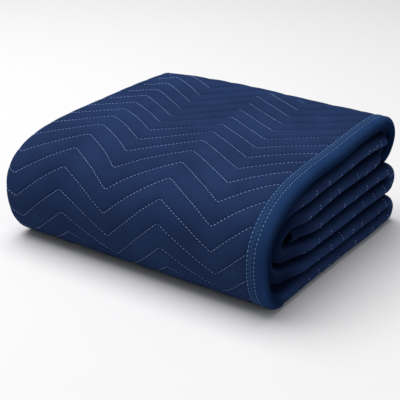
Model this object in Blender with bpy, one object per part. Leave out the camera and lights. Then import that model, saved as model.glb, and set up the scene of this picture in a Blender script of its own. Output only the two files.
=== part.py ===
"""Moving blanket, folded: one quilted cloth and the binding tape on its showing edge.

Metres, +Z up, standing on its flat underside. +X is the long way, towards the bound end.
-Y is the rounded front, +Y the back with three folds. The cloth is folded twice. First it is
rolled flat across X into five plies. That flat band is then folded back and forth in Y and Z
into seven layers. So one section of plies (x, t) is swept along one path (y, z).
"""
import bpy
import math

MM = 0.001

# ---- driving sizes, millimetres ------------------------------------------------------------
LENGTH = 356.0          # folded length along X
PLY = 3.24              # thickness of the quilted cloth
PLY_GAP = 0.35          # air between two plies
TAPE = 1.2              # thickness of the binding tape, both faces together
FIT = 0.3               # air between the tape and the cloth
TAPE_COVER = 160.0      # how far round the layer's end the tape goes, degrees
BAND = 12.5             # width of the tape's stitched band on the outer face
TUCK = 5.6              # how far the cloth sits back inside the tape
NOSE_BACK = 0.8         # how far the other layers' ends stand back from the tape's end
NOSE_LONG = 1.6         # how much longer than round their big turn is; the small one stays round
TURN_BACK = 8.0         # how much further they stand back inside the front turns
SLUMP = 33.0            # how far the top layer's plain end stands back from the lower ones
SLUMP_FROM = 60.0       # height where that setting back starts
SLUMP_FULL = 138.4      # height where it is all there
SLUMP_CURVE = 4.5       # how late it comes in between the two
Y_MIDDLE = 121.6        # middle of the path table's y values

PITCH = PLY + PLY_GAP
HALF = 2.5 * PLY + 2.0 * PLY_GAP        # half a layer of five plies
X_END = LENGTH / 2.0

EASY = 0.33             # fullness of a run that hardly bends

# The fold path: the middle line of one layer, from its inner free end to its outer one.
# Fullness is how square the bend to the next place is, 0.55 being a quarter of a circle.
# place, y, z, heading in degrees (0 is +Y, 90 is up), fullness to the next, steps to the next
PATH = (
    ("layer 4 free end",    38.0,  67.0,   1.0, EASY, 2),
    ("layer 4 middle",     150.0,  70.0,   1.0, EASY, 2),
    ("middle fold upper",  252.5,  72.0,   0.0, 0.55, 4),
    ("middle fold tip",    264.0,  60.5, -90.0, 0.55, 4),
    ("middle fold lower",  252.5,  49.0, 180.0, EASY, 2),
    ("layer 5 middle",     150.0,  49.0, 180.0, EASY, 2),
    ("inner turn foot",     40.0,  48.0, 180.0, 0.60, 5),
    ("inner turn front",    13.0,  64.0,  90.0, 0.55, 5),
    ("inner turn top",      60.0,  87.0,   5.0, EASY, 2),
    ("layer 3 middle",     150.0,  93.0,   1.0, EASY, 3),
    ("top fold lower",     226.5,  94.5,   0.0, 0.55, 5),
    ("top fold tip",       253.5, 116.5,  90.0, 0.55, 5),
    ("top fold upper",     225.5, 138.4, 180.0, EASY, 2),
    ("layer 1 middle",     165.0, 135.0, 183.0, EASY, 2),
    ("outer turn top",     105.0, 131.0, 183.0, 0.65, 7),
    ("outer turn front",   -26.0,  60.0, 270.0, 0.55, 6),
    ("outer turn foot",     10.0,   8.8,   0.0, EASY, 3),
    ("layer 7 front",       38.0,   8.8,   0.0, EASY, 2),
    ("bottom fold lower",  260.0,   8.8,   0.0, 0.55, 4),
    ("bottom fold tip",    269.2,  18.0,  90.0, 0.55, 4),
    ("bottom fold upper",  260.0,  27.2, 180.0, EASY, 3),
    ("middle turn foot",    30.0,  27.2, 180.0, 0.60, 5),
    ("middle turn front",   -6.0,  62.0,  90.0, 0.65, 7),
    ("middle turn top",    105.0, 111.5,   3.0, EASY, 1),
    ("layer 2 middle",     165.0, 115.5,   2.0, EASY, 1),
    ("layer 2 back",       219.5, 116.0,  -6.0, EASY, 2),
    ("layer 2 free end",   240.5, 113.5,  -9.0, EASY, 0),
)
TAPE_RUN = ("top fold lower", "outer turn foot")     # the tape starts and ends here
TUCK_EASE = ("layer 3 middle", "layer 7 front")      # the setting back dies away here

# Where the rounded ends stand back inside the front turns, in rows of the path table before or
# after a place: place, starts, all there, still all there, gone again
BACK_RUNS = (
    ("layer 4 free end",  -0.2, -0.1, 0.1, 0.5),
    ("inner turn front",  -1.3, -1.0, 0.4, 1.0),
    ("middle turn front", -1.1, -1.0, 0.4, 1.0),
)


def bezier(a, b, c, d, t):
    u = 1.0 - t
    return tuple(u**3 * p + 3 * u * u * t * q + 3 * u * t * t * r + t**3 * s
                 for p, q, r, s in zip(a, b, c, d))


def bezier_way(a, b, c, d, t):
    u = 1.0 - t
    return tuple(3 * u * u * (q - p) + 6 * u * t * (r - q) + 3 * t * t * (s - r)
                 for p, q, r, s in zip(a, b, c, d))


def leading(start, stop, heading, fullness):
    """How far a stretch of the path keeps a heading: fullness times its span that way."""
    co, si = math.cos(math.radians(heading)), math.sin(math.radians(heading))
    reach = fullness * abs((stop[0] - start[0]) * co + (stop[1] - start[1]) * si)
    return reach * co, reach * si


def path_points():
    """Stations along the fold path: y, z, the outward normal and the place they belong to."""
    stations = []
    for row, following in zip(PATH, PATH[1:]):
        _, y0, z0, way0, fullness, steps = row
        _, y1, z1, way1, _, _ = following
        a = (y0, z0)
        d = (y1, z1)
        leaving = leading(a, d, way0, fullness)
        arriving = leading(a, d, way1, fullness)
        b = (y0 + leaving[0], z0 + leaving[1])
        c = (y1 - arriving[0], z1 - arriving[1])
        last = following is PATH[-1]
        for step in range(steps + (1 if last else 0)):
            t = step / steps
            y, z = bezier(a, b, c, d, t)
            dy, dz = bezier_way(a, b, c, d, t)
            size = math.hypot(dy, dz)
            place = row[0] if t < 1.0 else following[0]
            stations.append({"y": y, "z": z, "way": (dy / size, dz / size),
                             "place": place, "share": t if t < 1.0 else 0.0})
    return stations


def smooth(t):
    t = min(1.0, max(0.0, t))
    return t * t * (3.0 - 2.0 * t)


def tuck_shares(stations):
    """One along the taped run, easing to nothing on the layers either side of it."""
    names = [row[0] for row in PATH]
    ease_in, run_start = names.index(TUCK_EASE[0]), names.index(TAPE_RUN[0])
    run_end, ease_out = names.index(TAPE_RUN[1]), names.index(TUCK_EASE[1])
    shares = []
    for station in stations:
        at = names.index(station["place"]) + station["share"]
        rise = smooth((at - ease_in) / (run_start - ease_in))
        fall = 1.0 - smooth((at - run_end) / (ease_out - run_end))
        shares.append(min(rise, fall))
    return shares


def turn_backs(stations):
    """How much of the standing back in the front turns each station has."""
    names = [row[0] for row in PATH]
    shares = []
    for station in stations:
        at = names.index(station["place"]) + station["share"]
        share = 0.0
        for place, starts, full, still, gone in BACK_RUNS:
            away = at - names.index(place)
            rise = smooth((away - starts) / (full - starts))
            share = max(share, rise * (1.0 - smooth((away - still) / (gone - still))))
        shares.append(share)
    return shares


def arc(cx, ct, radius, start, end, steps, long=1.0):
    """Points on a half round of the ply section, stretched along X, with the way outwards."""
    points = []
    for step in range(steps + 1):
        angle = math.radians(start + (end - start) * step / steps)
        co, si = math.cos(angle), math.sin(angle)
        size = math.hypot(co / long, si)
        points.append((cx + radius * long * co, ct + radius * si, co / long / size, si / size))
    return points


def ply_section(tuck, back):
    """The five plies as two matching lists of (x, t): the cloth's outer and inner face."""
    left = -X_END + HALF
    long = NOSE_LONG + tuck * (1.0 - NOSE_LONG)
    right = X_END - 1.5 * PITCH * long - PLY / 2.0 - NOSE_BACK - tuck * (TUCK - NOSE_BACK)
    edge = X_END - HALF
    first = 2.0 * PITCH
    pressed = HALF - TAPE - FIT
    outer = [(edge, pressed), (edge - BAND - 0.5, pressed), (edge - BAND - 2.5, HALF)]
    inner = [(x, first - PLY / 2.0) for x, _ in outer]
    turns = (
        arc(left, 0.0, 2.0 * PITCH, 90.0, 270.0, 6),
        arc(right, -PITCH / 2.0, 1.5 * PITCH, -90.0, 90.0, 6, long),
        arc(left, 0.0, PITCH, 90.0, 270.0, 4),
        arc(right, -PITCH / 2.0, 0.5 * PITCH, -90.0, 90.0, 3),
    )
    for turn in turns:
        for x, t, co, si in turn:
            outer.append((x + PLY / 2.0 * co, t + PLY / 2.0 * si))
            inner.append((x - PLY / 2.0 * co, t - PLY / 2.0 * si))
    outer.append((left, PLY / 2.0))
    inner.append((left, -PLY / 2.0))
    shift = [tuple((x - back * TURN_BACK if x > 0.0 else x, t) for x, t in face)
             for face in (outer, inner)]
    return shift[0], shift[1]


def slumped(x, z):
    """The plain end stands back more the higher the layer is."""
    back = SLUMP * max(0.0, (z - SLUMP_FROM) / (SLUMP_FULL - SLUMP_FROM)) ** SLUMP_CURVE
    return X_END - (X_END - x) * (1.0 - back / LENGTH)


def placed(station, x, t, along=0.0):
    """A section point (x, t) at a station, in metres, optionally moved along the path."""
    dy, dz = station["way"]
    y = station["y"] + dz * t + dy * along
    z = station["z"] - dy * t + dz * along
    return (slumped(x, station["z"]) * MM, (y - Y_MIDDLE) * MM, z * MM)


def end_inset(t):
    """The free ends of a layer are rounded: the outer plies stop shorter than the middle one."""
    return HALF - math.sqrt(max(0.0, HALF * HALF - t * t)) * 0.98


def swept(name, rings, collection, material):
    """A closed skin through rings of equal length, with its two ends closed by matched pairs."""
    count = len(rings[0])
    vertices = [point for ring in rings for point in ring]
    faces = []
    for row in range(len(rings) - 1):
        for i in range(count):
            j = (i + 1) % count
            a, b = row * count + i, row * count + j
            faces.append((a, b, b + count, a + count))
    half = count // 2
    for start, flip in ((0, True), ((len(rings) - 1) * count, False)):
        for i in range(half - 1):
            quad = (start + i, start + i + 1, start + count - 2 - i, start + count - 1 - i)
            faces.append(quad[::-1] if flip else quad)
    mesh = bpy.data.meshes.new(name)
    mesh.from_pydata(vertices, [], faces)
    mesh.update()
    volume = 0.0
    for face in mesh.polygons:
        corners = [mesh.vertices[i].co for i in face.vertices]
        for k in range(1, len(corners) - 1):
            volume += corners[0].dot(corners[k].cross(corners[k + 1])) / 6.0
    if volume < 0.0:
        mesh.flip_normals()
    mesh.materials.append(material)
    item = bpy.data.objects.new(name, mesh)
    collection.objects.link(item)
    return item


def paint(name, colour, roughness):
    material = bpy.data.materials.new(name)
    material.use_nodes = True
    shader = material.node_tree.nodes["Principled BSDF"]
    shader.inputs["Base Color"].default_value = (*colour, 1.0)
    shader.inputs["Roughness"].default_value = roughness
    return material


def build_cloth(collection):
    stations = path_points()
    tucks = tuck_shares(stations)
    towards_middle = [1.0] + [0.0] * (len(stations) - 2) + [-1.0]
    rings = []
    backs = turn_backs(stations)
    for station, tuck, back, side in zip(stations, tucks, backs, towards_middle):
        outer, inner = ply_section(tuck, back)
        rings.append([placed(station, x, t, side * end_inset(t)) for x, t in outer + inner[::-1]])
    return swept("quilted_cloth", rings, collection, paint("navy quilting", (0.020, 0.045, 0.130), 0.9))


def tape_section():
    """The tape round the layer's end: a flat band on the outer face, then round the end."""
    centre = X_END - HALF
    outer = [(centre - BAND, HALF)]
    inner = [(centre - BAND, HALF - TAPE)]
    steps = 7
    for step in range(steps + 1):
        angle = math.radians(90.0 - TAPE_COVER * step / steps)
        outer.append((centre + HALF * math.cos(angle), HALF * math.sin(angle)))
        inner.append((centre + (HALF - TAPE) * math.cos(angle), (HALF - TAPE) * math.sin(angle)))
    return outer, inner


def build_tape(collection):
    names = [row[0] for row in PATH]
    start, end = names.index(TAPE_RUN[0]), names.index(TAPE_RUN[1])
    outer, inner = tape_section()
    rings = []
    for station in path_points():
        at = names.index(station["place"]) + station["share"]
        if start <= at <= end:
            rings.append([placed(station, x, t) for x, t in outer + inner[::-1]])
    return swept("edge_binding", rings, collection, paint("blue binding tape", (0.026, 0.075, 0.175), 0.7))


def main():
    for item in list(bpy.data.objects):
        bpy.data.objects.remove(item, do_unlink=True)
    collection = bpy.data.collections.new("folded_moving_blanket")
    bpy.context.scene.collection.children.link(collection)
    build_cloth(collection)
    build_tape(collection)


main()
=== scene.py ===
"""Looks of the folded moving blanket: the padded quilted cloth on its folds, the zigzag rows of
stitching that hold its padding, and the stitched binding tape on the edge that shows.

The tables and sizes are in millimetres and the scene is in metres. The cloth is folded twice:
rolled flat across X into five plies, and that band folded back and forth in Y and Z into seven
layers. u is the distance across the cloth from its bound edge, q the distance along it.
"""
import math

import bpy
import numpy as np
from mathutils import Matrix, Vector


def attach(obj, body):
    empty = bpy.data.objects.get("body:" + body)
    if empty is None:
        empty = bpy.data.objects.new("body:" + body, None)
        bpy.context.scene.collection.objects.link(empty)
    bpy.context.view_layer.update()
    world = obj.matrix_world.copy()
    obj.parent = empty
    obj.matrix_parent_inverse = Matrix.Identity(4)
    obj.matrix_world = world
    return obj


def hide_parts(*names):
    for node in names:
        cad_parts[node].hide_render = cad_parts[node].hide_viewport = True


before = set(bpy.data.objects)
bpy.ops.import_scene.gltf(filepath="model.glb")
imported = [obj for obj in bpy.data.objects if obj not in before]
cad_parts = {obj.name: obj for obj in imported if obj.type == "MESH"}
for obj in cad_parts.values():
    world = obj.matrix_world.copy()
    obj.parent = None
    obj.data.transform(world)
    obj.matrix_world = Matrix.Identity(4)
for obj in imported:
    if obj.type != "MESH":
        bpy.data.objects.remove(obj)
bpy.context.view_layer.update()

MM = 0.001

# ---- sizes of the folded cloth, as the solids have them --------------------------------------
LENGTH = 356.0          # folded length along X
PLY = 3.24              # thickness of the quilted cloth
PLY_GAP = 0.35          # air between two plies
TAPE = 1.2              # thickness of the binding tape
FIT = 0.3               # air between the tape and the cloth
BAND = 12.5             # width of the tape's stitched band
TUCK = 5.6              # how far the cloth sits back inside the tape
NOSE_BACK = 0.8         # how far the other layers' ends stand back from the tape's end
NOSE_LONG = 1.6         # how much longer than round their big turn is
TURN_BACK = 8.0         # how much further they stand back inside the front turns
SLUMP = 33.0            # how far the top layer's plain end stands back
SLUMP_FROM = 60.0       # height where that setting back starts
SLUMP_FULL = 138.4      # height where it is all there
SLUMP_CURVE = 4.5       # how late it comes in between the two
Y_MIDDLE = 121.6        # middle of the path table's y values

PITCH = PLY + PLY_GAP
HALF = 2.5 * PLY + 2.0 * PLY_GAP
X_END = LENGTH / 2.0
X_LEFT = -X_END + HALF                              # centre of the plain end's rounding
X_BIG = X_END - NOSE_BACK - 2.0 * PITCH * NOSE_LONG - PLY / 2       # centre of a full rounded end
X_TUCKED = X_END - TUCK - 1.5 * PITCH - PLY / 2     # centre of the end inside the tape
X_EDGE = X_END - HALF                               # where the cloth's bound edge stops
X_FREE = X_BIG - 15.0                               # the same edge behind a full rounded end

EASY = 0.33             # fullness of a run that hardly bends

# Fullness is how square the bend to the next place is, 0.55 being a quarter of a circle.
# place, y, z, heading in degrees (0 is +Y, 90 is up), fullness to the next
PATH = (
    ("layer 4 free end",    38.0,  67.0,   1.0, EASY),
    ("layer 4 middle",     150.0,  70.0,   1.0, EASY),
    ("middle fold upper",  252.5,  72.0,   0.0, 0.55),
    ("middle fold tip",    264.0,  60.5, -90.0, 0.55),
    ("middle fold lower",  252.5,  49.0, 180.0, EASY),
    ("layer 5 middle",     150.0,  49.0, 180.0, EASY),
    ("inner turn foot",     40.0,  48.0, 180.0, 0.60),
    ("inner turn front",    13.0,  64.0,  90.0, 0.55),
    ("inner turn top",      60.0,  87.0,   5.0, EASY),
    ("layer 3 middle",     150.0,  93.0,   1.0, EASY),
    ("top fold lower",     226.5,  94.5,   0.0, 0.55),
    ("top fold tip",       253.5, 116.5,  90.0, 0.55),
    ("top fold upper",     225.5, 138.4, 180.0, EASY),
    ("layer 1 middle",     165.0, 135.0, 183.0, EASY),
    ("outer turn top",     105.0, 131.0, 183.0, 0.65),
    ("outer turn front",   -26.0,  60.0, 270.0, 0.55),
    ("outer turn foot",     10.0,   8.8,   0.0, EASY),
    ("layer 7 front",       38.0,   8.8,   0.0, EASY),
    ("bottom fold lower",  260.0,   8.8,   0.0, 0.55),
    ("bottom fold tip",    269.2,  18.0,  90.0, 0.55),
    ("bottom fold upper",  260.0,  27.2, 180.0, EASY),
    ("middle turn foot",    30.0,  27.2, 180.0, 0.60),
    ("middle turn front",   -6.0,  62.0,  90.0, 0.65),
    ("middle turn top",    105.0, 111.5,   3.0, EASY),
    ("layer 2 middle",     165.0, 115.5,   2.0, EASY),
    ("layer 2 back",       219.5, 116.0,  -6.0, EASY),
    ("layer 2 free end",   240.5, 113.5,  -9.0, EASY),
)

# ---- sizes of the bundle's own unevenness ------------------------------------------------------
ENDS_SINK = 1.6         # how far the top sinks towards both ends
DROOP = 4.0             # how much further it sinks at the back of the plain end
DROOP_FRONT = 0.2       # the share of that which the front has
LAYER_WAVES = (0.5, 0.4)        # height of the two soft waves over the layers
END_WAVES = (0.35, 0.25)        # depth of the two along the ends

# ---- sizes of the quilting --------------------------------------------------------------------
ROW = 24.0              # from one stitched row to the next, along the cloth
ROW_START = 265.5       # how far in front of the top's back edge one row lies
ROW_LOOSE = 0.15        # how much further apart the rows lie down the front
LOOSE_RUN = (50.0, 10.0)        # that loosening comes in from and to so far behind that row
ZIG_WIDE = 138.0        # width of the zigzag, from one valley to the next
ZIG_RISE = 0.535        # the share of that width which climbs to the peak
ZIG_HEIGHT = 23.0       # half of the height from peak to valley
ZIG_GENTLE = 0.7        # the back rows' last climb, at the bound end, is so much gentler
ZIG_LAST = (0.95, 0.85) # how wide and how high the plain end's zigzag is against the others
ZIG_U = 68.0            # the first valley's distance from the bound end
ZIG_LEAN = 0.17         # how far the peaks come nearer the bound end, for each length along
ZIG_DRIFT = 0.14        # how far a row comes forward, for each length away from the bound end
DRIFT_FULL = 200.0      # past this distance from the bound end it comes forward less
DRIFT_LESS = 0.3        # by this share
ZIG_BLUNT = 1.0         # how far before and after its corner a row turns
WOBBLE = 0.3            # how far a sewn row strays from its true line
TOP_BACK = 245.5        # the top's back edge, as a y value of the path table
PUFF = 1.25             # how far the padding stands above the stitches
PUFF_BACK = 0.2         # how much more the padding stands up at the back of the top
PINCH = 0.55            # extra depth of the groove right at the stitches
LEFT_SHARE = 0.25       # how much of the padding shows on the plain end's rounding
RIGHT_SHARE = 0.12      # and on the rounded ends by the binding
SUNK = 1.0              # how far the stitches lie below the solid's face

# length, gap, width, height of a stitch
QUILT_STITCH = (3.5, 0.8, 0.68, 0.44)
END_STITCH = (3.2, 0.8, 0.55, 0.40)
TAPE_STITCH = (3.4, 1.4, 0.54, 0.37)

# columns of the cloth's mesh beyond the tape's edge on it
TAPE_EDGE_COLUMNS = (-0.3, 0.6, 1.8, 4.2, 7.5, 11.5)

# offsets of the mesh rings from each stitched row
CLOSE_RINGS = (-9.8, -5.8, -2.8, -1.1, 0.0, 1.1, 2.8, 5.8, 9.8)
TURN_RINGS = (-6.2, -2.3, 0.0, 2.3, 6.2, 12.45)
PLAIN_RINGS = (-9.0, -2.6, 0.0, 2.6, 9.0)


def smooth(t):
    t = np.clip(t, 0.0, 1.0)
    return t * t * (3.0 - 2.0 * t)


def ramp(value, low, high):
    """0 below low, 1 above high, and a soft step between."""
    return smooth((value - low) / (high - low))


def window(value, opens, opened, closing, closed):
    """A soft step up from opens to opened, and one down from closing to closed."""
    return ramp(value, opens, opened) * (1.0 - ramp(value, closing, closed))


# ---- the fold path -----------------------------------------------------------------------------
def heading_way(degrees):
    return np.array([math.cos(math.radians(degrees)), math.sin(math.radians(degrees))])


class FoldPath:
    """The path table in fine steps: s along the layer's middle, q along its outer side."""

    def __init__(self, table, steps=70):
        y, z, starts = [], [], []
        for row, following in zip(table, table[1:]):
            begin, stop = np.array(row[1:3]), np.array(following[1:3])
            fullness = row[4]
            leaving, arriving = (fullness * abs((stop - begin) @ way) * way for way in
                                 (heading_way(row[3]), heading_way(following[3])))
            hull = np.array([begin, begin + leaving, stop - arriving, stop])
            t = np.linspace(0.0, 1.0, steps + 1)[:-1, None]
            points = ((1 - t) ** 3 * hull[0] + 3 * (1 - t) ** 2 * t * hull[1]
                      + 3 * (1 - t) * t * t * hull[2] + t ** 3 * hull[3])
            starts.append(len(y))
            y.extend(points[:, 0])
            z.extend(points[:, 1])
        starts.append(len(y))
        self.y = np.append(y, table[-1][1])
        self.z = np.append(z, table[-1][2])
        dy, dz = np.diff(self.y), np.diff(self.z)
        step = np.hypot(dy, dz)
        turn = np.unwrap(np.arctan2(dz, dy))
        heading = np.concatenate([turn[:1], (turn[1:] + turn[:-1]) / 2, turn[-1:]])
        self.heading = heading
        self.s = np.concatenate([[0.0], np.cumsum(step)])
        self.q = self.s + HALF * np.concatenate([[0.0], np.cumsum(np.abs(np.diff(heading)))])
        self.place = {row[0]: self.q[i] for row, i in zip(table, starts)}
        self.end = float(self.q[-1])

    def at(self, q):
        """y, z and heading at the distances q."""
        return (np.interp(q, self.q, self.y), np.interp(q, self.q, self.z),
                np.interp(q, self.q, self.heading))


path = FoldPath(PATH)


def back_of_top():
    """The distance along the cloth where the top layer starts, over the top fold's tip."""
    fold = (path.q > path.place["top fold tip"]) & (path.q < path.place["top fold upper"])
    return float(np.interp(-TOP_BACK, -path.y[fold], path.q[fold]))


ROW_Q = back_of_top() + ROW_START       # one row's place, and the others are ROW apart


def loosened(run):
    """Rows lie evenly along run. This turns run into a distance along the cloth."""
    table = np.arange(0.0, path.end + 1.0)
    loose = (ramp(table, ROW_Q - LOOSE_RUN[0], ROW_Q - LOOSE_RUN[1])
             - ramp(table, path.place["outer turn foot"], path.place["outer turn foot"] + 40.0))
    return run + np.interp(run, table, np.cumsum(ROW_LOOSE * loose))


def zigzag(u, run):
    """How far a stitched row wanders from its own run at a distance u, down to its valleys and up
    to its peaks. It dies away at the cloth's two free ends, so that these stay straight."""
    across = u - ZIG_U + ZIG_LEAN * (run - ROW_Q)
    gentle = ZIG_GENTLE + (1.0 - ZIG_GENTLE) * ramp(run, ROW_Q - 260.0, ROW_Q - 20.0)
    across = np.where(across < 0.0, across * gentle, across)
    beyond = np.maximum(0.0, across - ZIG_WIDE)
    across = across + beyond * (1.0 / ZIG_LAST[0] - 1.0)
    height = ZIG_HEIGHT * (1.0 - (1.0 - ZIG_LAST[1]) * ramp(beyond, 0.0, ZIG_WIDE * ZIG_RISE))
    wave = 0.0
    for side in (-ZIG_BLUNT, ZIG_BLUNT):
        share = (across + side) / ZIG_WIDE % 1.0
        climb, fall = share / ZIG_RISE, (share - ZIG_RISE) / (1.0 - ZIG_RISE)
        wave = wave + np.where(climb < 1.0, 0.5 - climb, fall - 0.5)
    top_u = np.minimum(u, STRETCH["ply 1"][1])
    drift = ZIG_DRIFT * (top_u - ZIG_U - DRIFT_LESS * np.maximum(0.0, top_u - DRIFT_FULL))
    stray = WOBBLE * (np.sin(u / 17.0 + run / 37.0) + 0.6 * np.sin(u / 8.0 - run / 29.0))
    free = smooth(run / 110.0) * smooth((RUN_END - run) / 110.0)
    return free * (height * wave + drift + stray)


def taped(q):
    """1 where the cloth's end is tucked inside the tape, easing to 0 past the tape's ends."""
    start, foot = path.place["top fold lower"], path.place["outer turn foot"]
    return window(q, start - 14.0, start + 34.0, foot - 28.0, foot + 2.0)


# ---- the section across X ----------------------------------------------------------------------
def half_round(x, t, radius, steps, side, long=1.0):
    """x, t and the way outwards along a half round that starts upwards (-X side) or ends there."""
    angle = np.linspace(90.0, 270.0, steps) if side == "left" else np.linspace(-90.0, 90.0, steps)
    angle = np.radians(angle)
    size = np.hypot(np.cos(angle) / long, np.sin(angle))
    return np.stack([x + radius * long * np.cos(angle), t + radius * np.sin(angle),
                     np.cos(angle) / long / size, np.sin(angle) / size], axis=1)


def straight(x0, t0, x1, t1, steps, normal):
    """The same for a flat stretch, easing from t0 to t1."""
    k = np.linspace(0.0, 1.0, steps)
    return np.stack([x0 + (x1 - x0) * k, t0 + (t1 - t0) * smooth(k),
                     np.zeros(steps), np.full(steps, normal)], axis=1)


def section_line():
    """The middle of the rolled cloth, from its bound edge inwards: u, then x, t and the way out
    for a plain stretch (full rounded end) and for a taped one."""
    two_p, p, hp = 2.0 * PITCH, PITCH, PITCH / 2.0
    first = straight(X_EDGE, two_p, X_LEFT, two_p, 200, 1.0)
    first_plain = first.copy()
    behind = first[:, 0] > X_FREE
    first_plain[behind, 0] = X_FREE + 0.03 * (first[behind, 0] - X_FREE)
    stretches = (
        ("ply 1", LENGTH - 2 * HALF, first_plain, first),
        ("left end", math.pi * two_p, half_round(X_LEFT, 0, two_p, 40, "left"), None),
        ("ply 5", X_BIG - X_LEFT, straight(X_LEFT, -two_p, X_BIG, -two_p, 200, -1.0),
         straight(X_LEFT, -two_p, X_TUCKED, -two_p, 200, -1.0)),
        ("right end", math.pi * two_p, half_round(X_BIG, 0, two_p, 40, "right", NOSE_LONG),
         half_round(X_TUCKED, -hp, 1.5 * p, 40, "right")),
        ("ply 2 rise", 17.0, straight(X_BIG, two_p, X_BIG - 17.0, p, 20, 1.0),
         straight(X_TUCKED, p, X_TUCKED - 17.0, p, 20, 1.0)),
        ("ply 2", X_BIG - 17.0 - X_LEFT, straight(X_BIG - 17.0, p, X_LEFT, p, 20, 1.0),
         straight(X_TUCKED - 17.0, p, X_LEFT, p, 20, 1.0)),
        ("inner left end", math.pi * p, half_round(X_LEFT, 0, p, 20, "left"), None),
        ("ply 4", X_TUCKED - X_LEFT, straight(X_LEFT, -p, X_TUCKED, -p, 20, -1.0), None),
        ("inner right end", math.pi * hp, half_round(X_TUCKED, -hp, hp, 20, "right"), None),
        ("ply 3", X_TUCKED - X_LEFT, straight(X_TUCKED, 0, X_LEFT, 0, 20, 1.0), None),
    )
    u, rows_plain, rows_taped, ends = [], [], [], {}
    start = X_END - X_EDGE
    for name, size, plain, taped_rows in stretches:
        taped_rows = plain if taped_rows is None else taped_rows
        u.append(np.linspace(start, start + size, len(plain)) + len(u) * 1e-6)
        rows_plain.append(plain)
        rows_taped.append(taped_rows)
        ends[name] = (start, start + size)
        start += size
    return np.concatenate(u), np.concatenate(rows_plain), np.concatenate(rows_taped), ends


SECTION_U, SECTION_PLAIN, SECTION_TAPED, STRETCH = section_line()
RUN_END = path.end - float(loosened(path.end) - path.end)
ROWS = [ROW_Q + k * ROW for k in range(math.floor(-ROW_Q / ROW),
                                       math.ceil((RUN_END - ROW_Q) / ROW) + 1)]


def section_at(u, tape_share):
    """x, t and the way out of the cloth's middle at distances u."""
    values = []
    for k in range(4):
        plain = np.interp(u, SECTION_U, SECTION_PLAIN[:, k])
        tucked = np.interp(u, SECTION_U, SECTION_TAPED[:, k])
        values.append(plain + (tucked - plain) * tape_share)
    return values


# ---- soft shape of the bundle ------------------------------------------------------------------
def slumped(x, z):
    """The plain end stands back more the higher the layer is."""
    back = SLUMP * np.maximum(0.0, (z - SLUMP_FROM) / (SLUMP_FULL - SLUMP_FROM)) ** SLUMP_CURVE
    return X_END - (X_END - x) * (1.0 - back / LENGTH)


def settled(x, y, z):
    """The bundle's own unevenness: the ends sink a little and the layers lie in soft waves."""
    high = z / SLUMP_FULL
    sink = ENDS_SINK * (np.abs(x) / X_END) ** 2.5 - 0.4
    droop = DROOP * ramp(-x, 95.0, X_END) * (
        DROOP_FRONT + (1.0 - DROOP_FRONT) * ramp(y, 40.0, 240.0))
    wave = (LAYER_WAVES[0] * np.sin(x / 31.0 + y / 47.0)
            + LAYER_WAVES[1] * np.sin(x / 53.0 - y / 29.0 + 1.3))
    z = z - high * (sink + (wave + droop) * high)
    end = ramp(np.abs(x), 110.0, 175.0)
    x = x + end * (END_WAVES[0] * np.sin(y / 27.0 + z / 13.0)
                   + END_WAVES[1] * np.sin(y / 15.0 - z / 17.0 + 0.8))
    return x, y, np.maximum(z, 0.0)


def turned_back(q):
    """How far the rounded ends stand back inside the two inner front turns and by the free end."""
    foot, top = path.place["inner turn foot"], path.place["inner turn top"]
    inner = window(q, foot - 30.0, foot + 6.0, top - 28.0, top)
    foot, top = path.place["middle turn foot"], path.place["middle turn top"]
    middle = window(q, foot - 30.0, foot + 6.0, top - 90.0, top - 40.0)
    return TURN_BACK * np.maximum(np.maximum(inner, middle), 1.0 - ramp(q, 10.0, 45.0))


def placed(x, t, q):
    """A section point at a distance q along the cloth, in millimetres."""
    y, z, heading = path.at(q)
    dy, dz = np.cos(heading), np.sin(heading)
    x = x - turned_back(q) * ramp(x, X_END - 75.0, X_END - 22.0)
    x, y, z = settled(slumped(x, z), y + dz * t, z - dy * t)
    return x, y - Y_MIDDLE, z


def shown_share(u, q):
    """How far a place on the cloth's outer face is out in the open: 1 in full view."""
    at = path.place
    foot, front = at["outer turn foot"], at["layer 7 front"]
    top = window(q, at["top fold lower"] - 6.0, at["top fold lower"] + 22.0, foot + 4.0, front)
    low, high = at["bottom fold lower"], at["bottom fold upper"]
    under = window(q, foot, front, low - 10.0, low)
    bottom = window(q, low - 8.0, low + 2.0, high - 4.0, high + 8.0)
    high, low = at["middle fold upper"], at["middle fold lower"]
    middle = window(q, high - 8.0, high + 4.0, low - 4.0, low + 8.0)
    left_from, left_to = STRETCH["left end"]
    right_from, right_to = STRETCH["right end"]
    on_first = 1.0 - ramp(u, left_from - 28.0, left_from + 10.0)
    plain_back = ramp(u, 250.0, 340.0) * (1.0 - ramp(q, ROW_Q - 160.0, ROW_Q - 40.0))
    on_first = on_first * (1.0 - 0.75 * plain_back)
    on_fifth = window(u, left_from, left_to, right_from, right_from + 3.0)
    left = window(u, left_from - 8.0, left_from + 6.0, left_to - 6.0, left_to + 8.0)
    right = window(u, right_from - 8.0, right_from + 5.0, right_to - 5.0, right_to + 3.0)
    return np.maximum.reduce([on_first * np.maximum.reduce([top, 0.6 * under, bottom]),
                              on_fifth * middle, LEFT_SHARE * left,
                              RIGHT_SHARE * right * (1.0 - taped(q))])


def padding(distance):
    """Height of the padded face over its stitches, at a distance from the nearest row."""
    x = np.clip(np.abs(distance) / (ROW / 2.0), 0.0, 1.0)
    return PUFF * (1.0 - (1.0 - x) ** 2.6) - PINCH * np.exp(-(distance / 1.5) ** 2)


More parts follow.
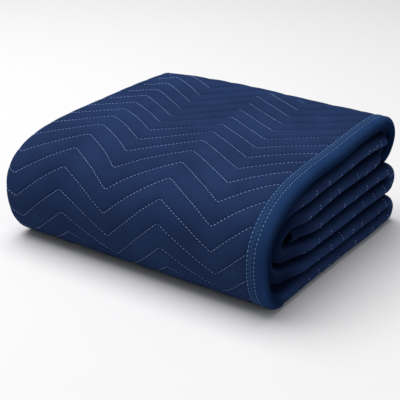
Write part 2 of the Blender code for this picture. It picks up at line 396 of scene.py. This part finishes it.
def lift(u, q, distance):
    """How far the outer face stands out from the solid's face."""
    open_share = shown_share(u, q)
    at_back = window(q, path.place["top fold tip"], path.place["top fold upper"],
                     ROW_Q - 180.0, ROW_Q - 60.0)
    height = open_share * ((1.0 + PUFF_BACK * at_back) * padding(distance) - SUNK)
    x = X_END - u                       # on ply 1 only, where the tape lies
    beside = np.where(u < STRETCH["ply 1"][1], taped(q), 0.0)
    under_tape = ramp(x, X_EDGE - BAND - 1.6, X_EDGE - BAND - 0.2)
    dip = 1.1 * np.exp(-np.maximum(0.0, X_EDGE - BAND - 1.0 - x) / 7.0)
    height = height - beside * (1.0 - under_tape) * dip * open_share
    return height + beside * under_tape * (-TAPE - FIT - height)


def painted_shade_mask(u, q):
    """Painted shade: 1 deep between two layers at their bound end, 0 on the end's crest and on
    open faces.
    """
    low, high = STRETCH["right end"]
    crest = (low + high) / 2.0
    across = np.abs(u - crest) / (high - crest)
    near = ramp(u, low - 10.0, low + 2.0)
    in_turn = turned_back(q) / TURN_BACK * (1.0 - ramp(q, path.end - 60.0, path.end - 30.0))
    towards_tape = 0.9 * in_turn * (1.0 - ramp(u, crest, crest + 8.0))
    return near * np.maximum.reduce([ramp(across, 0.26, 0.84), 0.9 * taped(q), towards_tape])


def outer_face(u, q, distance, extra=0.0):
    """Points of the cloth's outer face, in millimetres."""
    x, t, nx, nt = section_at(u, taped(q))
    out = PLY / 2.0 + lift(u, q, distance) + extra
    return placed(x + nx * out, t + nt * out, q)


def inner_face(u, q):
    x, t, nx, nt = section_at(u, taped(q))
    return placed(x - nx * PLY / 2.0, t - nt * PLY / 2.0, q)


# ---- the cloth's mesh ----------------------------------------------------------------------------
def cloth_columns():
    """The distances u of the mesh's columns, which of them the inner face has too, and how much
    of the zigzag each follows."""
    one, left, five, right = (STRETCH[n] for n in ("ply 1", "left end", "ply 5", "right end"))
    band = X_END - X_EDGE + BAND        # where the tape ends on the cloth
    near_tape = [X_END - X_EDGE, X_END - 163.0] + [band + d for d in TAPE_EDGE_COLUMNS]
    across = np.linspace(near_tape[-1] + 4.6, one[1] - 4.0, 63)
    on_left = np.linspace(*left, 12)
    on_five = np.linspace(five[0] + 6.0, five[1] - 6.0, 27)
    on_right = np.linspace(*right, 13)
    visible = np.concatenate([near_tape, across, on_left, on_five, on_right])
    two, rise = STRETCH["ply 2"], STRETCH["ply 2 rise"]
    hidden = [rise[0] + 5.0, rise[0] + 11.0, rise[1], two[1]]
    for name, steps in (("inner left end", 4), ("ply 4", 1), ("inner right end", 3), ("ply 3", 1)):
        low, high = STRETCH[name]
        hidden.extend(np.linspace(low, high, steps + 1)[1:])
    hidden = [h - 0.4 if i == len(hidden) - 1 else h for i, h in enumerate(hidden)]
    u = np.concatenate([visible, hidden])
    kept = np.zeros(len(u), bool)
    kept[[0, 4, 40, 70]] = True
    left_start = len(near_tape) + len(across)
    five_start = left_start + len(on_left)
    right_start = five_start + len(on_five)
    kept[left_start:five_start:2] = True
    kept[five_start - 1] = True
    kept[five_start + len(on_five) // 2] = True
    kept[right_start:right_start + len(on_right):2] = True
    kept[len(visible):] = True
    follow = np.where(u < one[1], ramp(u, X_END - X_EDGE, band), 1.0)
    follow = follow * (1.0 - ramp(u, right[1], rise[1]))
    return u, kept, follow


def ring_places():
    """The mesh's rings: their distances along the cloth, and from the nearest stitched row."""
    at = path.place
    close = ((at["top fold lower"] - 20, at["outer turn foot"] + 22),
             (at["bottom fold lower"] - 18, at["bottom fold upper"] + 18),
             (at["middle fold upper"] - 18, at["middle fold lower"] + 18))
    turns = ((at["inner turn foot"] - 18, at["inner turn top"] + 10),
             (at["middle turn foot"] - 18, at["middle turn top"] - 30))
    rings = []
    for run in ROWS:
        q = loosened(run)
        offsets = PLAIN_RINGS
        if any(low < q < high for low, high in turns):
            offsets = TURN_RINGS
        if any(low < q < high for low, high in close):
            offsets = CLOSE_RINGS
        rings.extend((run + d, d) for d in offsets if 8.0 < run + d < RUN_END - 8.0)
    ends = [(d, 12.0) for d in (0.0, 1.5, 4.0)] + [(RUN_END - d, 12.0) for d in (4.0, 1.5, 0.0)]
    rings = sorted(rings + ends)
    return np.array([r[0] for r in rings]), np.array([r[1] for r in rings])


def end_inset(t):
    """The free ends of a layer are rounded: the outer plies stop short of the middle one."""
    return HALF - np.sqrt(np.maximum(0.0, HALF * HALF - t * t)) * 0.98


def rounded_ends(q, t):
    """Moves places near the cloth's two ends along it, so that these close in a soft round."""
    inset = end_inset(np.clip(t, -HALF, HALF))
    q = q + inset * (1.0 - smooth(q / 40.0))
    return q - inset * (1.0 - smooth((path.end - q) / 40.0))


def new_mesh(name, points, faces, uv, attributes=None):
    """An object from points in millimetres, faces, and a UV place for each point, in metres."""
    mesh = bpy.data.meshes.new(name)
    mesh.from_pydata((points * MM).tolist(), [], faces)
    mesh.update()
    layer = mesh.uv_layers.new(name="cloth_run")
    corner = np.empty(len(mesh.loops), np.int32)
    mesh.loops.foreach_get("vertex_index", corner)
    layer.data.foreach_set("uv", (uv[corner] * MM).astype(np.float32).ravel())
    for key, values in (attributes or {}).items():
        data = mesh.attributes.new(key, "FLOAT", "POINT")
        data.data.foreach_set("value", np.asarray(values, np.float32))
    mesh.shade_smooth()
    obj = bpy.data.objects.new(name, mesh)
    bpy.context.scene.collection.objects.link(obj)
    return obj


def outward(obj):
    """Turns a closed mesh's faces outwards if they point inwards."""
    mesh = obj.data
    mesh.calc_loop_triangles()
    co = np.empty(len(mesh.vertices) * 3, np.float32)
    mesh.vertices.foreach_get("co", co)
    tri = np.empty(len(mesh.loop_triangles) * 3, np.int32)
    mesh.loop_triangles.foreach_get("vertices", tri)
    a, b, c = (co.reshape(-1, 3)[tri.reshape(-1, 3)[:, i]].astype(float) for i in range(3))
    if (a * np.cross(b, c)).sum() < 0.0:
        mesh.flip_normals()
    return obj


def ring_faces(rings, count):
    """Four-sided faces between closed rings of points."""
    row = np.arange(rings - 1)[:, None] * count
    i = np.arange(count)[None, :]
    j = (i + 1) % count
    faces = np.stack([row + i, row + j, row + j + count, row + i + count], axis=2)
    return faces.reshape(-1, 4).tolist()


def build_cloth():
    u, kept, follow = cloth_columns()
    ring_run, ring_d = ring_places()
    run = ring_run[:, None]
    flat_q = np.broadcast_to(loosened(run), (len(ring_run), len(u)))
    outer_q = np.clip(loosened(run + zigzag(u[None, :], run) * follow[None, :]), 0.0, path.end)
    uu = np.broadcast_to(u[None, :], flat_q.shape)
    distance = np.broadcast_to(ring_d[:, None], flat_q.shape)
    _, t_outer, _, nt = section_at(uu, taped(outer_q))
    outer_q = rounded_ends(outer_q, t_outer + nt * PLY / 2.0)
    inner_q = rounded_ends(flat_q, t_outer - nt * PLY / 2.0)[:, kept]
    outer = np.stack(outer_face(uu, outer_q, distance), axis=2)
    inner = np.stack(inner_face(uu[:, kept], inner_q), axis=2)
    ring = np.concatenate([outer, inner[:, ::-1]], axis=1)
    count = ring.shape[1]
    faces = ring_faces(len(ring_run), count)
    marks = np.flatnonzero(kept)
    for start, flip in ((0, True), ((len(ring_run) - 1) * count, False)):
        for i, (a, b) in enumerate(zip(marks, marks[1:])):
            strip = list(range(a, b + 1)) + [count - 2 - i, count - 1 - i]
            strip = [start + k for k in strip]
            faces.append(strip[::-1] if flip else strip)
    uv = np.concatenate([np.stack([uu, outer_q], axis=2),
                         np.stack([uu[:, kept], inner_q], axis=2)[:, ::-1]], axis=1)
    # mask near the stitched rows on open faces: painted shade in the grooves, and their puckering bump
    groove = np.exp(-(distance / 2.6) ** 2) * shown_share(uu, outer_q)
    groove = np.concatenate([groove, np.zeros(inner_q.shape)], axis=1)
    # painted shade between the layers, full on the inner face
    hidden = np.concatenate([painted_shade_mask(uu, outer_q), np.ones(inner_q.shape)], axis=1)
    cloth = new_mesh("quilted_blanket", ring.reshape(-1, 3), faces, uv.reshape(-1, 2),
                     {"groove": groove.ravel(), "painted_shade_mask": hidden.ravel()})
    return outward(cloth)


# ---- stitches ------------------------------------------------------------------------------------
def stitch_form():
    """One stitch: a stretched round whose two ends dip into the cloth, 2 long and 2 wide."""
    bpy.ops.object.select_all(action="DESELECT")
    bpy.ops.mesh.primitive_uv_sphere_add(segments=5, ring_count=4, radius=1.0,
                                         rotation=(0.0, math.pi / 2.0, 0.0))
    form = bpy.context.object
    bpy.ops.object.transform_apply(location=False, rotation=True, scale=False)
    points = np.array([v.co for v in form.data.vertices], float)
    faces = [list(f.vertices) for f in form.data.polygons]
    bpy.data.objects.remove(form, do_unlink=True)
    points[:, 2] -= 0.9 * points[:, 0] ** 2
    points[:, 1:] *= (1.0 - 0.15 * points[:, :1] ** 2)
    return points, faces


STITCH_POINTS, STITCH_FACES = stitch_form()


def stitches_along(line, ups, size, rng, shown=None):
    """Places for stitches on a line of points: start, end and the way up of each."""
    length, gap, _, _ = size
    along = np.concatenate([[0.0], np.cumsum(np.linalg.norm(np.diff(line, axis=0), axis=1))])
    starts = np.arange(rng.uniform(0.0, gap), along[-1] - length, length + gap)
    starts = starts + rng.uniform(-0.12, 0.12, len(starts)) * gap
    ends = starts + length * rng.uniform(0.9, 1.05, len(starts))

    def at(values, where):
        return np.stack([np.interp(where, along, values[:, k]) for k in range(3)], axis=1)

    middle = (starts + ends) / 2.0
    keep = np.ones(len(starts), bool) if shown is None else np.interp(middle, along, shown) > 0.5
    return at(line, starts)[keep], at(line, ends)[keep], at(ups, middle)[keep]


def build_stitches(name, places, size):
    """All the stitches of one kind as one joined mesh."""
    _, _, width, height = size
    start, end, up = (np.concatenate([p[k] for p in places]) for k in range(3))
    centre, half = (start + end) / 2.0, (end - start) / 2.0
    way = half / np.linalg.norm(half, axis=1, keepdims=True)
    side = np.cross(up, way)
    side /= np.linalg.norm(side, axis=1, keepdims=True)
    up = np.cross(way, side)
    f = STITCH_POINTS
    points = (centre[:, None, :] + f[None, :, :1] * half[:, None, :]
              + f[None, :, 1:2] * side[:, None, :] * width / 2.0
              + f[None, :, 2:3] * up[:, None, :] * height)
    number, size_f = len(centre), len(f)
    faces = [[k * size_f + i for i in face] for k in range(number) for face in STITCH_FACES]
    uv = np.stack([np.tile(f[:, 0], number) * 2.0 + np.repeat(np.arange(number), size_f) * 7.0,
                   np.tile(f[:, 1], number)], axis=1)
    return new_mesh(name, points.reshape(-1, 3), faces, uv)


def face_up(u, q, distance=0.0):
    """The way out of the cloth's outer face."""
    low = np.stack(outer_face(u, q, distance, 0.0), axis=1)
    high = np.stack(outer_face(u, q, distance, 1.0), axis=1)
    up = high - low
    return up / np.maximum(np.linalg.norm(up, axis=1, keepdims=True), 1e-6)


def sewn_rows():
    """The rows that are sewn: none lies right at a free end."""
    return [run for run in ROWS if 14.0 < run < RUN_END - 14.0]


def build_quilting():
    """The rows on the open faces."""
    rng = np.random.default_rng(7)
    u = np.arange(X_END - X_EDGE + BAND + 2.4, STRETCH["right end"][0], 0.75)
    places = []
    for run in sewn_rows():
        q = loosened(run + zigzag(u, run))
        line = np.stack(outer_face(u, q, 0.0, 0.12), axis=1)
        shown = np.maximum(shown_share(u, q), np.where(
            (u > STRETCH["ply 1"][1] - 90.0) & (u < STRETCH["left end"][1] - 3.0),
            4.0 * shown_share(u, q), 0.0))
        cut = np.where(taped(q) < 0.3, ramp(u, X_END - X_FREE + 6.0, X_END - X_FREE + 7.0), 1.0)
        places.append(stitches_along(line, face_up(u, q), QUILT_STITCH, rng, shown * cut))
    return build_stitches("quilting_stitches", places, QUILT_STITCH)


def build_end_stitches():
    """The few stitches of each row that come up on the rounded ends by the binding."""
    rng = np.random.default_rng(5)
    low, high = STRETCH["right end"]
    crest = (low + high) / 2.0
    places = []
    for run in sewn_rows():
        start = crest + rng.uniform(-4.5, 0.5)
        u = np.arange(start, start + rng.uniform(5.0, 9.0), 0.4)
        q = np.full(len(u), loosened(run + zigzag(crest, run)))
        if taped(q).max() > 0.2 or painted_shade_mask(u, q)[0] > 0.5 or rng.random() < 0.05:
            continue
        line = np.stack(outer_face(u, q, 0.0, 0.12), axis=1)
        places.append(stitches_along(line, face_up(u, q), END_STITCH, rng))
    return build_stitches("end_stitches", places, END_STITCH)


# ---- binding tape --------------------------------------------------------------------------------
TAPE_ROWS = (1.5, 9.8)          # the two stitched rows, from the tape's edge
TAPE_START = path.place["top fold lower"] + 4.0
TAPE_UNDER = path.place["outer turn foot"] - 6.0        # from here it slides in under the cloth
TAPE_STOP = TAPE_UNDER + 28.0
TAPE_BACK = 6.0                 # how far back it is by then
TAPE_ROUND = 7.2                # how round it goes over the layer's end
TAPE_FLAT = BAND + HALF - TAPE_ROUND                    # its width before that rounding
TAPE_STEPS = 270                # rings of its mesh
BACK_FADE = 70.0                # the painted shade on it comes in over this length into the fold at the back
FOOT_FADE = 36.0                # and it fades to navy over this length under the foot
OVERCAST_SPAN = (2.6, 8.7)      # the overcast goes from here to there, from the tape's edge
OVERCAST_STEP = 2.4             # and so far along each time
OVERCAST_THREAD = (0.0, 0.0, 0.55, 0.3)


def tape_profile():
    """The tape's outer side from its edge on the cloth round the end: x, t, way out, run."""
    flat = np.array([0.0, 0.5, 1.0, 1.5, 2.0, 2.6, 4.0, 5.7, 7.3, 8.7, 9.3, 9.8, 10.3, 11.0, 12.6])
    rows = [(X_EDGE - BAND + d, HALF, 0.0, 1.0, d) for d in flat]
    for angle in np.linspace(90.0, -72.0, 17):
        a = math.radians(angle)
        rows.append((X_END - TAPE_ROUND + TAPE_ROUND * math.cos(a),
                     HALF - TAPE_ROUND + TAPE_ROUND * math.sin(a), math.cos(a), math.sin(a),
                     TAPE_FLAT + TAPE_ROUND * (math.pi / 2 - a)))
    return np.array(rows)


def tape_face(profile, q, extra):
    """Points of the tape's outer side, its soft puckers included, in millimetres."""
    run = profile[:, 4]
    groove = sum(np.exp(-((run - r) / 0.75) ** 2) for r in TAPE_ROWS)
    between = window(run, 2.2, 3.2, 8.2, 9.2)
    edge = np.exp(-(run / 0.5) ** 2)
    pull = 0.5 + 0.5 * np.cos(2.0 * math.pi * q / (TAPE_STITCH[0] + TAPE_STITCH[1]))
    swell = 0.35 * np.sin(q / 17.0) + 0.25 * np.sin(q / 7.3 + 1.0)
    round_end = ramp(run, BAND, BAND + 6.0)
    out = (-0.42 * groove * (0.7 + 0.3 * pull) + 0.18 * between - 0.35 * edge
           + round_end * (swell * 0.6 + 0.25)) + extra
    back = TAPE_BACK * ramp(q, TAPE_UNDER, TAPE_STOP)
    return placed(profile[:, 0] + profile[:, 2] * out - back,
                  profile[:, 1] + profile[:, 3] * out, np.full(len(run), q))


def build_tape():
    profile = tape_profile()
    places = np.linspace(TAPE_START, TAPE_STOP, TAPE_STEPS)
    rings, uv = [], []
    around = (profile[:, 4] - TAPE_FLAT) / TAPE_ROUND
    # painted shade on the inner part of the tape's rounding
    inside = 0.5 * ramp(around, 0.75, 1.35) + 0.5 * ramp(around, 1.2, 1.9)
    for q in places:
        close = min(q - TAPE_START, TAPE_STOP - q)
        thin = 0.75 * (1.0 - smooth(close / 26.0))
        outer = np.stack(tape_face(profile, q, -thin), axis=1)
        inner = np.stack(tape_face(profile, q, -TAPE + 0.25), axis=1)
        rings.append(np.concatenate([outer, inner[::-1]]))
        run = np.concatenate([profile[:, 4], profile[::-1, 4]])
        uv.append(np.stack([run, np.full(len(run), q)], axis=1))
    count = len(rings[0])
    faces = ring_faces(len(rings), count)
    half = count // 2
    for start, flip in ((0, True), ((len(rings) - 1) * count, False)):
        for i in range(half - 1):
            quad = [start + i, start + i + 1, start + count - 2 - i, start + count - 1 - i]
            faces.append(quad[::-1] if flip else quad)
    # painted shade where the tape turns into the fold at the back, and a fade to navy where it slides
    # in under the cloth at its foot
    back_painted_shade = 1.0 - smooth((places - TAPE_START) / BACK_FADE)
    foot_under = 1.0 - smooth((TAPE_UNDER + 12.0 - places) / FOOT_FADE)
    under = np.maximum(back_painted_shade, foot_under)
    across = np.concatenate([inside, np.ones(len(inside))])
    # painted shade of the tape's inner curl and inner face, weaker at the foot
    hidden = np.outer(1.0 - 0.7 * foot_under, across).ravel()
    return outward(new_mesh("edge_tape", np.concatenate(rings), faces, np.concatenate(uv),
                            {"painted_shade_mask": hidden, "painted_shade_and_foot_fade": np.repeat(under, count)}))


def tape_line(run, q, extra):
    """Points on the tape at a distance run from its edge, and the way out there."""
    profile = tape_profile()
    row = np.array([[np.interp(r, profile[:, 4], profile[:, k]) for k in range(5)] for r in run])
    points = np.array([np.stack(tape_face(row[i:i + 1], q[i], extra), axis=1)[0]
                       for i in range(len(q))])
    above = np.array([np.stack(tape_face(row[i:i + 1], q[i], extra + 1.0), axis=1)[0]
                      for i in range(len(q))])
    return points, above - points


def build_tape_stitches():
    rng = np.random.default_rng(11)
    q = np.arange(TAPE_START + 1.0, TAPE_STOP - 1.0, 1.0)
    places = []
    for run in TAPE_ROWS:
        line, ups = tape_line(np.full(len(q), run), q, 0.12)
        places.append(stitches_along(line, ups, TAPE_STITCH, rng))
    return build_stitches("binding_stitches", places, TAPE_STITCH)


def build_overcast():
    """Slanting threads laid back and forth between the tape's two rows."""
    steps = np.arange(TAPE_START + 3.0, TAPE_STOP - 3.0, OVERCAST_STEP)
    starts, ends, ups = [], [], []
    for i, q in enumerate(steps[:-1]):
        near, far = OVERCAST_SPAN if i % 2 == 0 else OVERCAST_SPAN[::-1]
        points, up = tape_line(np.array([near, far]), np.array([q, steps[i + 1]]), 0.1)
        starts.append(points[0])
        ends.append(points[1])
        ups.append(up[0])
    threads = [(np.array(starts), np.array(ends), np.array(ups))]
    return build_stitches("binding_overcast", threads, OVERCAST_THREAD)


# ---- materials -----------------------------------------------------------------------------------
def node_group(name, inputs, outputs):
    group = bpy.data.node_groups.new(name, "ShaderNodeTree")
    for label, kind, value in inputs:
        socket = group.interface.new_socket(label, in_out="INPUT", socket_type=kind)
        if value is not None:
            socket.default_value = value
    for label, kind in outputs:
        group.interface.new_socket(label, in_out="OUTPUT", socket_type=kind)
    return group, group.nodes.new("NodeGroupInput"), group.nodes.new("NodeGroupOutput")


class Nodes:
    """Short calls for adding and joining nodes in one tree."""

    def __init__(self, tree):
        self.tree = tree

    def add(self, kind, values=None, links=None, **settings):
        node = self.tree.nodes.new(kind)
        for key, value in settings.items():
            setattr(node, key, value)
        for key, value in (values or {}).items():
            node.inputs[key].default_value = value
        for key, socket in (links or {}).items():
            self.tree.links.new(socket, node.inputs[key])
        return node

    def math(self, operation, a, b=None, clamp=False):
        node = self.tree.nodes.new("ShaderNodeMath")
        node.operation = operation
        node.use_clamp = clamp
        for i, value in enumerate((a, b)):
            if value is None:
                continue
            if isinstance(value, (int, float)):
                node.inputs[i].default_value = value
            else:
                self.tree.links.new(value, node.inputs[i])
        return node.outputs[0]

    def mix(self, share, a, b, blend="MIX"):
        node = self.tree.nodes.new("ShaderNodeMix")
        node.data_type = "RGBA"
        node.blend_type = blend
        for key, value in ((0, share), (6, a), (7, b)):
            if isinstance(value, (int, float, tuple)):
                node.inputs[key].default_value = value
            else:
                self.tree.links.new(value, node.inputs[key])
        return node.outputs[2]


def weave_group():
    """Crossing threads of a woven face. Threads is how many of them lie in a metre."""
    group, inside, outside = node_group(
        "crossing threads",
        [("Run", "NodeSocketVector", None), ("Threads", "NodeSocketFloat", 900.0),
         ("Uneven", "NodeSocketFloat", 0.35)],
        [("Height", "NodeSocketFloat"), ("Shade", "NodeSocketFloat")])
    n = Nodes(group)
    parts = n.add("ShaderNodeSeparateXYZ", links={0: inside.outputs["Run"]})
    turns = n.math("MULTIPLY", inside.outputs["Threads"], math.pi)
    waves = [n.math("ABSOLUTE", n.math("SINE", n.math("MULTIPLY", parts.outputs[k], turns)))
             for k in (0, 1)]
    noise = n.add("ShaderNodeTexNoise", {"Scale": 260.0, "Detail": 3.0, "Roughness": 0.6},
                  {"Vector": inside.outputs["Run"]})
    thread = n.math("MULTIPLY", n.math("ADD", waves[0], waves[1]), 0.5)
    rough = n.math("MULTIPLY", n.math("SUBTRACT", noise.outputs["Fac"], 0.5),
                   inside.outputs["Uneven"])
    height = n.math("ADD", thread, rough)
    group.links.new(height, outside.inputs["Height"])
    shade = n.math("ADD", n.math("MULTIPLY", thread, 0.6), rough)
    group.links.new(shade, outside.inputs["Shade"])
    return group


def mottle_group():
    """Slow changes of tone over the cloth, and fine lint."""
    group, inside, outside = node_group(
        "cloth mottle",
        [("Place", "NodeSocketVector", None), ("Size", "NodeSocketFloat", 18.0)],
        [("Tone", "NodeSocketFloat"), ("Lint", "NodeSocketFloat")])
    n = Nodes(group)
    slow = n.add("ShaderNodeTexNoise", {"Detail": 4.0, "Roughness": 0.6},
                 {"Vector": inside.outputs["Place"], "Scale": inside.outputs["Size"]})
    fine = n.add("ShaderNodeTexNoise", {"Scale": 900.0, "Detail": 2.0},
                 {"Vector": inside.outputs["Place"]})
    lint = n.add("ShaderNodeMapRange", {"From Min": 0.62, "From Max": 0.8},
                 {"Value": fine.outputs["Fac"]})
    group.links.new(slow.outputs["Fac"], outside.inputs["Tone"])
    group.links.new(lint.outputs["Result"], outside.inputs["Lint"])
    return group


WEAVE = weave_group()
MOTTLE = mottle_group()

SHADE_AND_FADE_NAVY = (0.0125, 0.0232, 0.059, 1.0)       # painted shade on the tape where it turns into the fold at the back, and the navy it fades to where it turns in under the cloth at its foot
PAINTED_SHADE_SHARE = 0.90     # how far a face between two layers goes to its painted shade colour
GROOVE_PAINTED_SHADE = 0.35     # how far the stitched grooves go to their painted shade
GROOVE_SHADE_TONE = 0.65      # that painted shade, as a share of the cloth's dark colour


def fabric(name, colour, light, dark, between, threads, depth, groove=False):
    """A woven matt cloth material on the piece's own run of cloth. between is the colour of its
    painted shade deep between two layers."""
    material = bpy.data.materials.new(name)
    material.use_nodes = True
    tree = material.node_tree
    n = Nodes(tree)
    shader = tree.nodes["Principled BSDF"]
    run = n.add("ShaderNodeUVMap", uv_map="cloth_run")
    place = n.add("ShaderNodeTexCoord")
    weave = n.add("ShaderNodeGroup", node_tree=WEAVE)
    weave.inputs["Threads"].default_value = threads
    tree.links.new(run.outputs["UV"], weave.inputs["Run"])
    mottle = n.add("ShaderNodeGroup", node_tree=MOTTLE)
    tree.links.new(place.outputs["Object"], mottle.inputs["Place"])
    tone = n.add("ShaderNodeMapRange", {"From Min": 0.36, "From Max": 0.64},
                 {"Value": mottle.outputs["Tone"]})
    base = n.mix(tone.outputs["Result"], (*dark, 1.0), (*light, 1.0))
    base = n.mix(n.math("MULTIPLY", weave.outputs["Shade"], 0.55, clamp=True), base,
                 (*colour, 1.0))
    base = n.mix(n.math("MULTIPLY", mottle.outputs["Lint"], 0.10), base,
                 (*(min(1.0, c * 3.0 + 0.03) for c in colour), 1.0))
    # painted shade where the tape turns into the fold at the back, and its fade to navy at the foot
    under = n.add("ShaderNodeAttribute", attribute_name="painted_shade_and_foot_fade")
    base = n.mix(under.outputs["Fac"], base, SHADE_AND_FADE_NAVY)
    # painted shade between the layers and in the tape's inner curl
    hidden = n.add("ShaderNodeAttribute", attribute_name="painted_shade_mask")
    base = n.mix(n.math("MULTIPLY", hidden.outputs["Fac"], PAINTED_SHADE_SHARE), base, (*between, 1.0))
    # painted shade darkens the stitched grooves
    if groove:
        depth_mask = n.add("ShaderNodeAttribute", attribute_name="groove")
        base = n.mix(n.math("MULTIPLY", depth_mask.outputs["Fac"], GROOVE_PAINTED_SHADE), base,
                     (*(c * GROOVE_SHADE_TONE for c in dark), 1.0))
    tree.links.new(base, shader.inputs["Base Color"])
    rough = n.math("ADD", n.math("MULTIPLY", mottle.outputs["Tone"], 0.12), 0.80)
    tree.links.new(rough, shader.inputs["Roughness"])
    shader.inputs["Specular IOR Level"].default_value = 0.0
    shader.inputs["Sheen Weight"].default_value = 0.04
    shader.inputs["Sheen Roughness"].default_value = 0.5
    shader.inputs["Sheen Tint"].default_value = (0.25, 0.4, 0.9, 1.0)
    bump = n.add("ShaderNodeBump", {"Strength": 0.55, "Distance": depth},
                 {"Height": weave.outputs["Height"]})
    if groove:
        pucker = n.add("ShaderNodeTexNoise", {"Scale": 150.0, "Detail": 2.0},
                       {"Vector": place.outputs["Object"]})
        pull = n.math("MULTIPLY", pucker.outputs["Fac"], depth_mask.outputs["Fac"])
        pulled = n.add("ShaderNodeBump", {"Strength": 0.8, "Distance": 0.0012}, {"Height": pull})
        tree.links.new(pulled.outputs["Normal"], bump.inputs["Normal"])
    tree.links.new(bump.outputs["Normal"], shader.inputs["Normal"])
    return material


def thread_material(name, colour, dark):
    """Twisted sewing thread."""
    material = bpy.data.materials.new(name)
    material.use_nodes = True
    tree = material.node_tree
    n = Nodes(tree)
    shader = tree.nodes["Principled BSDF"]
    place = n.add("ShaderNodeTexCoord")
    twist = n.add("ShaderNodeTexNoise", {"Scale": 700.0, "Detail": 2.0},
                  {"Vector": place.outputs["Object"]})
    slow = n.add("ShaderNodeTexNoise", {"Scale": 35.0, "Detail": 2.0},
                 {"Vector": place.outputs["Object"]})
    share = n.math("ADD", n.math("MULTIPLY", twist.outputs["Fac"], 0.5),
                   n.math("MULTIPLY", slow.outputs["Fac"], 0.5))
    tree.links.new(n.mix(share, (*dark, 1.0), (*colour, 1.0)), shader.inputs["Base Color"])
    tree.links.new(n.math("ADD", n.math("MULTIPLY", twist.outputs["Fac"], 0.2), 0.55),
                   shader.inputs["Roughness"])
    bump = n.add("ShaderNodeBump", {"Strength": 0.4, "Distance": 0.0002},
                 {"Height": twist.outputs["Fac"]})
    tree.links.new(bump.outputs["Normal"], shader.inputs["Normal"])
    return material


NAVY = fabric("navy quilted face", colour=(0.0163, 0.0341, 0.0958), light=(0.0148, 0.0291, 0.0828),
              dark=(0.0111, 0.0209, 0.0598), between=(0.0014, 0.0052, 0.0199),
              threads=620.0, depth=0.00022, groove=True)
TAPE_BLUE = fabric("blue binding weave", colour=(0.0130, 0.0372, 0.107), light=(0.0117, 0.0322, 0.094),
                   dark=(0.0091, 0.0252, 0.076), between=(0.0013, 0.0073, 0.026),
                   threads=800.0, depth=0.00018)
THREAD = thread_material("pale quilting thread", (0.34, 0.50, 0.86), (0.11, 0.18, 0.40))
TAPE_THREAD = thread_material("pale binding thread", (0.33, 0.52, 0.80), (0.11, 0.21, 0.40))
OVERCAST = thread_material("blue overcast thread", (0.025, 0.070, 0.155), (0.014, 0.045, 0.115))


# ---- put the pieces together -----------------------------------------------------------------------
cloth = build_cloth()
quilting = build_quilting()
end_stitches = build_end_stitches()
tape = build_tape()
tape_stitches = build_tape_stitches()
overcast = build_overcast()
for piece, material, slot in ((cloth, NAVY, "quilting"), (quilting, THREAD, "quilting"),
                              (end_stitches, THREAD, "quilting"),
                              (tape, TAPE_BLUE, "binding"), (tape_stitches, TAPE_THREAD, "binding"),
                              (overcast, OVERCAST, "binding")):
    piece.data.materials.append(material)
    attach(piece, "root")
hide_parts("quilted_cloth")
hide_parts("edge_binding")


# ---- floor, light and camera -----------------------------------------------------------------------
def add_floor():
    bpy.ops.object.select_all(action="DESELECT")
    bpy.ops.mesh.primitive_plane_add(size=8.0, location=(0.0, 0.0, 0.0))
    floor = bpy.context.object
    floor.name = "studio_floor"
    material = bpy.data.materials.new("pale studio floor")
    material.use_nodes = True
    shader = material.node_tree.nodes["Principled BSDF"]
    shader.inputs["Base Color"].default_value = (0.66, 0.66, 0.67, 1.0)
    shader.inputs["Roughness"].default_value = 0.9
    floor.data.materials.append(material)


def add_area(name, place, aim, size, power, colour):
    light = bpy.data.lights.new(name, "AREA")
    light.energy = power
    light.size = size
    light.color = colour
    obj = bpy.data.objects.new(name, light)
    bpy.context.scene.collection.objects.link(obj)
    obj.location = place
    obj.rotation_euler = (Vector(place) - Vector(aim)).to_track_quat("Z", "Y").to_euler()


def add_camera(azimuth, elevation, distance, aim, lens):
    data = bpy.data.cameras.new("camera")
    data.lens = lens
    data.sensor_width = 36.0
    camera = bpy.data.objects.new("camera", data)
    bpy.context.scene.collection.objects.link(camera)
    a, e = math.radians(azimuth), math.radians(elevation)
    back = Vector((math.sin(a) * math.cos(e), -math.cos(a) * math.cos(e), math.sin(e)))
    camera.location = Vector(aim) + distance * back
    camera.rotation_euler = back.to_track_quat("Z", "Y").to_euler()
    bpy.context.scene.camera = camera


add_floor()
world = bpy.data.worlds.new("studio")
bpy.context.scene.world = world
world.use_nodes = True
world.node_tree.nodes["Background"].inputs["Color"].default_value = (0.95, 0.97, 1.0, 1.0)
world.node_tree.nodes["Background"].inputs["Strength"].default_value = 0.3
add_area("key overhead", place=(-0.7, -0.1, 2.3), aim=(0.0, 0.0, 0.05), size=2.4, power=90.0,
         colour=(1.0, 0.99, 0.98))
add_area("side fill", place=(1.7, -0.6, 0.75), aim=(0.1, 0.0, 0.06), size=0.9, power=5.0,
         colour=(0.97, 0.98, 1.0))
bpy.context.scene.view_settings.view_transform = "Standard"
add_camera(azimuth=35.0, elevation=24.0, distance=1.3208, aim=(-0.0502, 0.061, 0.0021), lens=92.66)
